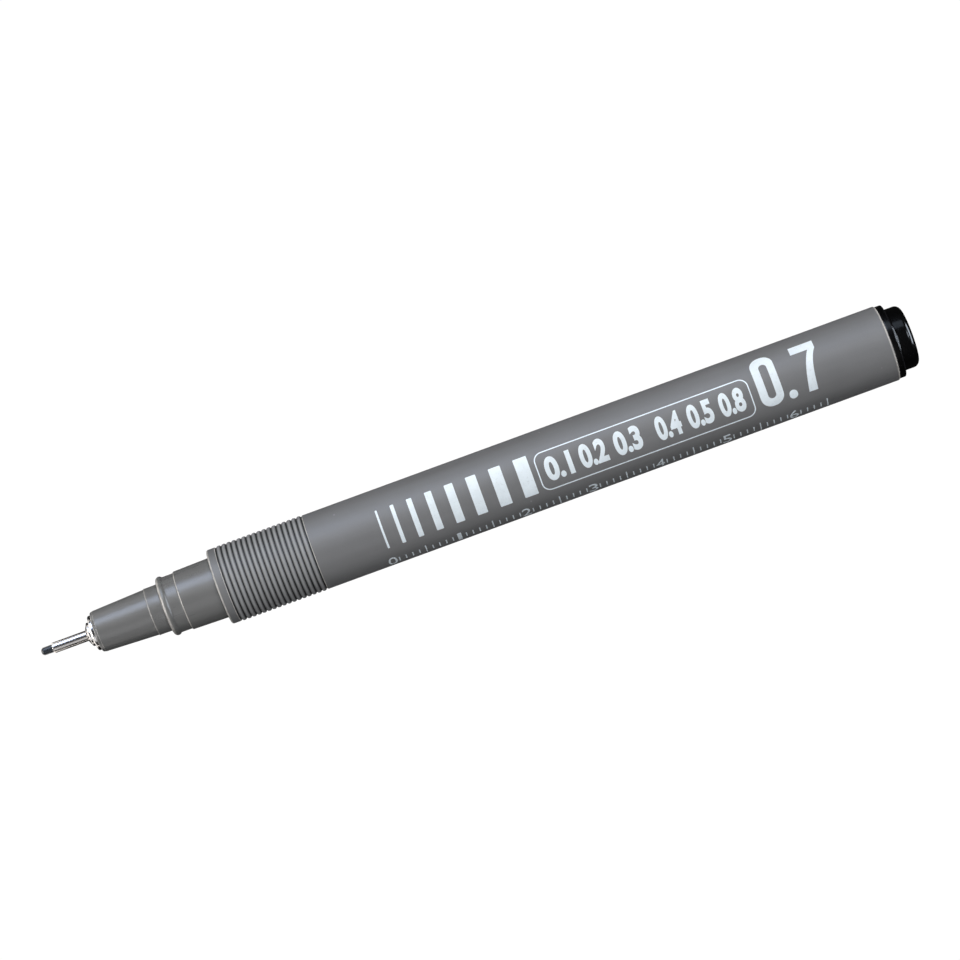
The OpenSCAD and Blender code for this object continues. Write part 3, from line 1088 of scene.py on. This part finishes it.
class PEN_OT_tip(bpy.types.Operator):
    """Makes the ferrule, the steel tube and the writing rod"""

    bl_idname = "pen.tip"
    bl_label = "Metal tip and nib"

    def execute(self, context):
        sizes = context.scene.pen_tip
        bore = sizes.tube_radius - SLIDE
        reach = NOSE_FRONT - FERRULE_FRONT
        step_front = NOSE_FRONT - reach * 0.7
        flange_front = NOSE_FRONT - reach * 0.35
        shank_front = NOSE_FRONT - 0.02 * MM
        outline = [
            corner(FERRULE_FRONT, bore, 0.03 * MM),
            corner(FERRULE_FRONT, sizes.tube_radius + 0.1 * MM, 0.04 * MM),
            corner(step_front - 0.06 * MM, sizes.step_radius - 0.1 * MM, 0.05 * MM),
            corner(step_front, sizes.step_radius, 0.05 * MM),
            corner(flange_front - 0.18 * MM, sizes.step_radius + 0.01 * MM, 0.05 * MM),
            corner(flange_front - 0.02 * MM, sizes.flange_radius - 0.1 * MM, 0.05 * MM),
            corner(flange_front + 0.08 * MM, sizes.flange_radius, 0.06 * MM),
            corner(shank_front, sizes.flange_radius, 0.08 * MM),
            corner(shank_front, sizes.shank_radius, 0.02 * MM),
            corner(SHANK_END, sizes.shank_radius, 0.3 * MM),
            corner(SHANK_END, bore, 0.05 * MM),
        ]
        ring = {"closed": True, "sides": SIDES_SMALL}
        turn_piece("tip_ferrule_turned", outline, "bright_metal", "tip", "tip_ferrule", **ring)

        wall = 0.18 * MM
        inner = sizes.tube_radius - wall
        crimped = sizes.tube_radius - 0.04 * MM
        outline = [
            corner(TUBE_FRONT, inner, 0.04 * MM),
            corner(TUBE_FRONT, sizes.tube_radius - 0.05 * MM, 0.05 * MM),
            corner(TUBE_FRONT + 0.2 * MM, sizes.tube_radius, 0.1 * MM),
            corner(FERRULE_FRONT - 0.02 * MM, sizes.tube_radius, 0.02 * MM),
            corner(FERRULE_FRONT, crimped, 0.02 * MM),
            corner(SHANK_END, crimped, 0.05 * MM),
            corner(SHANK_END, inner, 0.03 * MM),
        ]
        turn_piece("nib_tube_drawn", outline, "steel_tube", "tip", "nib_tube", **ring)

        nose_round = sizes.nib_radius * 0.84
        outline = [
            corner(NIB_FRONT, 0),
            *arc(NIB_FRONT + nose_round, sizes.nib_radius - nose_round, nose_round, -90, 0),
            corner(NIB_REAR, sizes.nib_radius, 0.15 * MM),
            corner(NIB_REAR, 0),
        ]
        turn_piece("nib_rod", outline, "nib_rod", "tip", "nib", sides=SIDES_SMALL)
        return {"FINISHED"}


class PEN_OT_plug(bpy.types.Operator):
    """Makes the end plug and the crossed fins inside it"""

    bl_idname = "pen.plug"
    bl_label = "End plug"

    def execute(self, context):
        sizes = context.scene.pen_plug
        skirt = sizes.skirt_radius
        ring_top = context.scene.pen_barrel.mouth_radius - SLIDE
        flange_front = BARREL_REAR + 0.02 * MM
        flange_rear = BARREL_REAR + sizes.flange_thickness
        dome = 0.12 * MM
        gate = 1.0 * MM
        gate_depth = 0.3 * MM
        corner_r = sizes.corner_radius
        bore_rear = PEN_END - 1.3 * MM
        outline = [
            corner(bore_rear, 0),
            corner(bore_rear, sizes.bore_radius, 0.4 * MM),
            corner(SKIRT_FRONT, sizes.bore_radius, 0.15 * MM),
            corner(SKIRT_FRONT, skirt - 0.4 * MM, 0.15 * MM),
            corner(SKIRT_FRONT + 0.8 * MM, skirt, 0.3 * MM),
            *seal_ring(SKIRT_FRONT + 2 * MM, skirt, ring_top),
            *seal_ring(SKIRT_FRONT + 4 * MM, skirt, ring_top),
            corner(flange_front, skirt),
            corner(flange_front, sizes.flange_radius, 0.1 * MM),
            corner(flange_rear, sizes.flange_radius, 0.22 * MM),
            corner(flange_rear, sizes.post_radius, 0.28 * MM),
            *arc(PEN_END - dome - corner_r, sizes.post_radius - corner_r, corner_r, 0, 84),
            corner(PEN_END - dome * 0.35, (sizes.post_radius - corner_r) * 0.65),
            corner(PEN_END, gate, 0.06 * MM),
            corner(PEN_END - gate_depth, gate, 0.06 * MM),
            corner(PEN_END - gate_depth, 0),
        ]
        turn_piece("end_plug_moulding", outline, "plug_plastic", "plug", "end_plug")

        fin_front = RESERVOIR_REAR + 0.06 * MM
        reach = sizes.bore_radius - 0.2 * MM
        grow_piece(
            "plug_fins",
            spoke_tree(),
            "plug_plastic",
            "plug",
            {
                "Count": 4,
                "Start angle": math.radians(45),
                "Middle": ((fin_front + bore_rear) / 2, 0, AXIS_Z),
                "Offset": reach / 2,
                "Size": (bore_rear - fin_front, 0.8 * MM, reach),
            },
        )
        return {"FINISHED"}


class PEN_OT_ink_feed(bpy.types.Operator):
    """Makes the wick, the fibre reservoir, its film and the breather tube"""

    bl_idname = "pen.ink_feed"
    bl_label = "Ink feed"

    def execute(self, context):
        sizes = context.scene.pen_ink
        socket = context.scene.pen_tip.nib_radius + SLIDE
        socket_end = NIB_REAR + 0.1 * MM
        outline = [
            corner(socket_end, 0),
            corner(socket_end, socket),
            corner(WICK_FRONT, socket, 0.05 * MM),
            corner(WICK_FRONT, sizes.wick_radius, 0.1 * MM),
            corner(WICK_REAR, sizes.wick_radius, 0.1 * MM),
            corner(WICK_REAR, 0),
        ]
        few = {"sides": SIDES_SMALL}
        turn_piece("feed_wick_fibre", outline, "inked_wick", "section", "feed_wick", **few)

        pocket = sizes.wick_radius + SLIDE
        pocket_end = WICK_REAR + 0.3 * MM
        core = sizes.reservoir_radius - 0.12 * MM
        outline = [
            corner(pocket_end, 0),
            corner(pocket_end, pocket),
            corner(RESERVOIR_FRONT, pocket, 0.1 * MM),
            corner(RESERVOIR_FRONT, core, 0.15 * MM),
            corner(RESERVOIR_REAR, core, 0.15 * MM),
            corner(RESERVOIR_REAR, 0),
        ]
        turn_piece("ink_reservoir_core", outline, "inked_fibre", "barrel", "ink_reservoir", **few)
        strand = 0.11 * MM
        grow_piece(
            "ink_reservoir_strands",
            strand_tree(),
            "inked_fibre",
            "barrel",
            {
                "Count": sizes.strand_count,
                "Front": (RESERVOIR_FRONT + 0.1 * MM, 0, AXIS_Z),
                "Length": RESERVOIR_REAR - RESERVOIR_FRONT - 0.2 * MM,
                "Radius": sizes.reservoir_radius - strand - SLIDE,
                "Thickness": strand,
                "Wander": 0.05 * MM,
            },
        )

        film_inner = sizes.reservoir_radius + 0.01 * MM
        outline = sleeve(FILM_FRONT, FILM_REAR, film_inner, film_inner + 0.08 * MM)
        named = "clear_film", "barrel", "reservoir_film"
        turn_piece("reservoir_film_wrap", outline, *named, closed=True, **few)

        bore = sizes.breather_radius - 0.2 * MM
        rounding = 0.03 * MM, 0.04 * MM
        outline = sleeve(BREATHER_FRONT, BREATHER_REAR, bore, sizes.breather_radius, *rounding)
        low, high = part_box("breather_tube")
        beside = ((low.y + high.y) / 2, (low.z + high.z) / 2 - AXIS_Z)
        named = "natural_plastic", "barrel", "breather_tube"
        turn_piece("breather_tube_drawn", outline, *named, closed=True, sides=32, offset=beside)
        return {"FINISHED"}


class PEN_OT_print(bpy.types.Operator):
    """Prints the barrel: line-width samples, framed figures, the pen's own width and a scale"""

    bl_idname = "pen.print"
    bl_label = "Print"

    def execute(self, context):
        sizes = context.scene.pen_print
        printed_piece("print_width_samples", self.width_samples(sizes))
        printed_piece("print_frame", [self.frame_outline(sizes)])
        printed_piece("print_framed_figures", self.framed_figures(sizes))
        printed_piece("print_width_figure", self.width_figure(sizes))
        printed_piece("print_scale_figures", self.scale_figures(sizes))
        grow_piece(
            "print_scale_marks",
            scale_marks_tree(),
            "printed_ink",
            "barrel",
            {
                "Count": SCALE_STEPS + 1,
                "First": (on_barrel(sizes.start), height_at(-64), sizes.thickness * 0.3),
                "Pitch": (sizes.scale_end - sizes.start) / SCALE_STEPS,
                "Mark": (0.17 * MM, 1.2 * MM, sizes.thickness),
                "Radius": context.scene.pen_barrel.radius,
                "Axis height": AXIS_Z,
            },
        )
        return {"FINISHED"}

    def width_samples(self, sizes):
        """Upright strokes, each wider than the one before it."""
        plates = []
        x = on_barrel(sizes.start)
        for number in range(STROKE_COUNT):
            width = (0.3 + 0.24 * number) * MM
            rounding = min(0.12 * MM, width * 0.4)
            shape = round_box(x, height_at(-33), x + width, height_at(27.8), rounding)
            plates.append(flat_shape("stroke", [shape]))
            x += width + 1.9 * MM
        return plates

    def frame_outline(self, sizes):
        """The rounded line round the framed figures."""
        x0, x1 = on_barrel(sizes.frame_start), on_barrel(sizes.frame_end)
        low, high = height_at(-35), height_at(25.3)
        line = sizes.frame_line
        rounding = 1.3 * MM
        outer = round_box(x0, low, x1, high, rounding)
        inner = round_box(x0 + line, low + line, x1 - line, high - line, rounding - line)
        return flat_shape("frame_line", [outer, inner])

    def framed_figures(self, sizes):
        """Line widths in millimetres, in heavy narrow figures."""
        plates = []
        low, high = height_at(-22), height_at(14.8)
        groups = (
            (1.1 * MM, 14.2 * MM, ("0.1", "0.2", "0.3")),
            (17.5 * MM, 13.1 * MM, ("0.4", "0.5", "0.8")),
        )
        for first, span, texts in groups:
            for number, words in enumerate(texts):
                x = on_barrel(sizes.frame_start) + first + number * span * 0.36
                plates.append(flat_text("figures", words, x, x + span * 0.28, low, high, 0.045))
        return plates

    def width_figure(self, sizes):
        """The pen's own line width, in tall narrow figures."""
        left = on_barrel(sizes.figure_start)
        low, high = height_at(-30.7), height_at(48.7)
        width = 3.35 * MM
        outer = round_box(left, low, left + width, high, width * 0.46)
        slot_low, slot_high = height_at(-18.6), height_at(34.8)
        inner = round_box(left + 1.15 * MM, slot_low, left + 2.3 * MM, slot_high, 0.56 * MM)
        dot_left = left + 4.0 * MM
        dot = round_box(dot_left, low, dot_left + 1.2 * MM, low + 1.32 * MM, 0.58 * MM)
        seven = left + 6.0 * MM
        right = seven + 3.55 * MM
        top, foot = height_at(46.1), height_at(-29.3)
        under_bar = height_at(32.6)
        stem_rear = (right, under_bar), (right - 1.3 * MM, height_at(14)), (seven + 2.1 * MM, foot)
        middle = (seven + 1.2 * MM, height_at(10))
        stem_front = (seven + 0.8 * MM, foot), middle, (seven + 2.5 * MM, under_bar)
        seven_outline = [
            (seven, top),
            (right, top),
            (right, under_bar),
            *bend(*stem_rear),
            *bend(*stem_front),
            (seven, under_bar),
        ]
        return [
            flat_shape("nought", [outer, inner]),
            flat_shape("point", [dot]),
            flat_shape("seven", [seven_outline]),
        ]

    def scale_figures(self, sizes):
        """Figures at every tenth mark of the scale."""
        plates = []
        low, high = height_at(-75), height_at(-53)
        spacing = (sizes.scale_end - sizes.start) / (SCALE_STEPS / 10)
        for number in range(7):
            x = on_barrel(sizes.start) + number * spacing
            half = (0.3 if number == 1 else 0.65) * MM
            plates.append(flat_text("figure", str(number), x - half, x + half, low, high))
        return plates


class PEN_OT_stage(bpy.types.Operator):
    """Lays the floor, hangs the lights and sets up the camera"""

    bl_idname = "pen.stage"
    bl_label = "Stage"

    def execute(self, context):
        sizes = context.scene.pen_stage
        self.lay_floor(sizes)
        self.hang_lights()
        self.light_the_room(context)
        context.scene.view_settings.view_transform = "Standard"
        self.set_camera(context, sizes)
        return {"FINISHED"}

    def lay_floor(self, sizes):
        """A floor that is white to the camera and dark to all else, with a glow ahead of the nib.

        Only reflections see the glow."""
        half = sizes.floor_size / 2
        mesh = bpy.data.meshes.new("floor")
        corners = [(-half, -half, 0), (half, -half, 0), (half, half, 0), (-half, half, 0)]
        mesh.from_pydata(corners, [], [(0, 1, 2, 3)])
        made = Finish("floor_paint")
        ray = made.node("ShaderNodeLightPath").outputs
        along = made.node("ShaderNodeSeparateXYZ", {"Vector": made.place()})
        ahead = made.maths("LESS_THAN", along, NIB_FRONT)
        glow = made.maths("MULTIPLY", ray["Is Glossy Ray"], ahead)
        made.shade(
            {
                "Base Color": opaque(sizes.floor_colour),
                "Roughness": 0.9,
                "Specular IOR Level": 0.0,
                "Emission Color": (1, 0.96, 0.92, 1),
                "Emission Strength": made.maths("MULTIPLY", glow, FLOOR_GLOW),
            }
        )
        white = made.node("ShaderNodeEmission", {"Color": (1, 1, 1, 1), "Strength": FLOOR_WHITE})
        seen = {0: ray["Is Camera Ray"], 1: made.shader, 2: white}
        mixed = made.node("ShaderNodeMixShader", seen)
        made.put(mixed, made.tree.nodes["Material Output"].inputs["Surface"])
        mesh.materials.append(bpy.data.materials["floor_paint"])
        new_piece("floor", mesh)

    def hang_lights(self):
        """Broad lights for the body, and strips, cards and end lights that only the gloss shows."""
        for name, tilt, size, power in (
            ("Overhead", 31, (1.0, 0.7), 11.6),
            ("Near side", -76, (1.2, 0.3), 3.8),
            ("Far side", 82, (1.2, 0.3), 1.8),
        ):
            broad = soft_light(name, turned_up(tilt, 1.0, 0.0), size, power, (1, 0.99, 0.97))
            broad.visible_glossy = False
        for name, place, size, power, rgb in (
            ("Cool strip", turned_up(53, 0.9, -0.25), (0.6, 0.5), 5.9, (0.66, 0.77, 1)),
            ("Cool strip rear", turned_up(50, 0.9, 0.25), (0.4, 0.4), 0.42, (0.7, 0.82, 1)),
            ("Dim card", turned_up(-35, 0.9, -0.05), (0.3, 0.8), 0.3, (0.98, 0.98, 1)),
            ("Tip card", turned_up(-38, 0.9, -0.35), (0.4, 0.5), 0.85, (0.98, 0.98, 1)),
            ("Front card", (-0.75, 0.0, 0.55), (0.6, 0.6), 1.3, (0.98, 0.98, 1)),
            ("Front end", (-0.95, 0.05, 0.3), (0.9, 0.3), 10.0, (1, 0.97, 0.94)),
            ("Rear end", (0.95, 0.05, 0.3), (0.9, 0.3), 12.0, (0.8, 0.88, 1)),
            ("Rear above", (0.55, 0.05, 0.75), (0.3, 0.3), 1.7, (0.8, 0.88, 1)),
        ):
            gloss = soft_light(name, place, size, power, rgb)
            gloss.visible_diffuse = False

    def light_the_room(self, context):
        """Faint even light from all round."""
        room = bpy.data.worlds.new("Room")
        room.use_nodes = True
        background = room.node_tree.nodes["Background"]
        background.inputs["Color"].default_value = (0.97, 0.98, 1, 1)
        background.inputs["Strength"].default_value = ROOM_LIGHT
        context.scene.world = room

    def set_camera(self, context, sizes):
        """A long lens straight above the lying pen, rolled so that the pen rises to the right."""
        lens = bpy.data.cameras.new("Camera")
        lens.sensor_width = 36
        lens.lens = CAMERA_LENS
        lens.clip_start = 0.01
        camera = bpy.data.objects.new("Camera", lens)
        height = AXIS_Z + sizes.camera_distance
        camera.location = (BARREL_FRONT + CAMERA_BEHIND, CAMERA_ASIDE, height)
        camera.rotation_euler = (0, 0, -sizes.camera_roll)
        context.scene.collection.objects.link(camera)
        context.scene.camera = camera


def turned_up(tilt, distance, shift):
    """A place above the pen, tilted towards +Y by tilt degrees, shift metres along the pen."""
    angle = math.radians(tilt)
    return shift, distance * math.sin(angle), AXIS_Z + distance * math.cos(angle)


def soft_light(name, place, size, power, rgb):
    """A rectangular soft light that faces the pen's axis, or its middle from beyond an end."""
    lamp = bpy.data.lights.new(name, "AREA")
    lamp.shape = "RECTANGLE"
    lamp.size, lamp.size_y = size
    lamp.energy = power
    lamp.color = rgb
    light = bpy.data.objects.new(name, lamp)
    light.location = place
    beyond = abs(place[0]) > 0.5
    target = Vector((0 if beyond else place[0], 0, AXIS_Z))
    light.rotation_euler = (target - Vector(place)).to_track_quat("-Z", "Y").to_euler()
    bpy.context.scene.collection.objects.link(light)
    return light


class PEN_PT_panel(bpy.types.Panel):
    """The pen's sizes and pieces"""

    bl_idname = "PEN_PT_panel"
    bl_label = "Technical Pen"
    bl_space_type = "VIEW_3D"
    bl_region_type = "UI"
    bl_category = "Technical Pen"

    def draw(self, context):
        for operator in OPERATORS:
            self.layout.operator(operator.bl_idname)
        for name in GROUPS:
            box = self.layout.box()
            group = getattr(context.scene, name)
            for key in group.__annotations__:
                box.prop(group, key)


GROUPS = {
    "pen_barrel": PenBarrelSizes,
    "pen_nose": PenNoseSizes,
    "pen_tip": PenTipSizes,
    "pen_plug": PenPlugSizes,
    "pen_ink": PenInkSizes,
    "pen_print": PenPrintSizes,
    "pen_stage": PenStageSizes,
}
OPERATORS = (
    PEN_OT_barrel,
    PEN_OT_nose,
    PEN_OT_tip,
    PEN_OT_plug,
    PEN_OT_ink_feed,
    PEN_OT_print,
    PEN_OT_stage,
)


def register():
    for name, group in GROUPS.items():
        bpy.utils.register_class(group)
        setattr(bpy.types.Scene, name, bpy.props.PointerProperty(type=group))
    for operator in OPERATORS:
        bpy.utils.register_class(operator)
    bpy.utils.register_class(PEN_PT_panel)


def unregister():
    bpy.utils.unregister_class(PEN_PT_panel)
    for operator in reversed(OPERATORS):
        bpy.utils.unregister_class(operator)
    for name, group in GROUPS.items():
        delattr(bpy.types.Scene, name)
        bpy.utils.unregister_class(group)


def main():
    register()
    bpy.ops.pen.stage()
    bpy.ops.pen.barrel()
    bpy.ops.pen.nose()
    bpy.ops.pen.tip()
    bpy.ops.pen.plug()
    bpy.ops.pen.ink_feed()
    bpy.ops.pen.print()


if __name__ == "__main__":
    main()
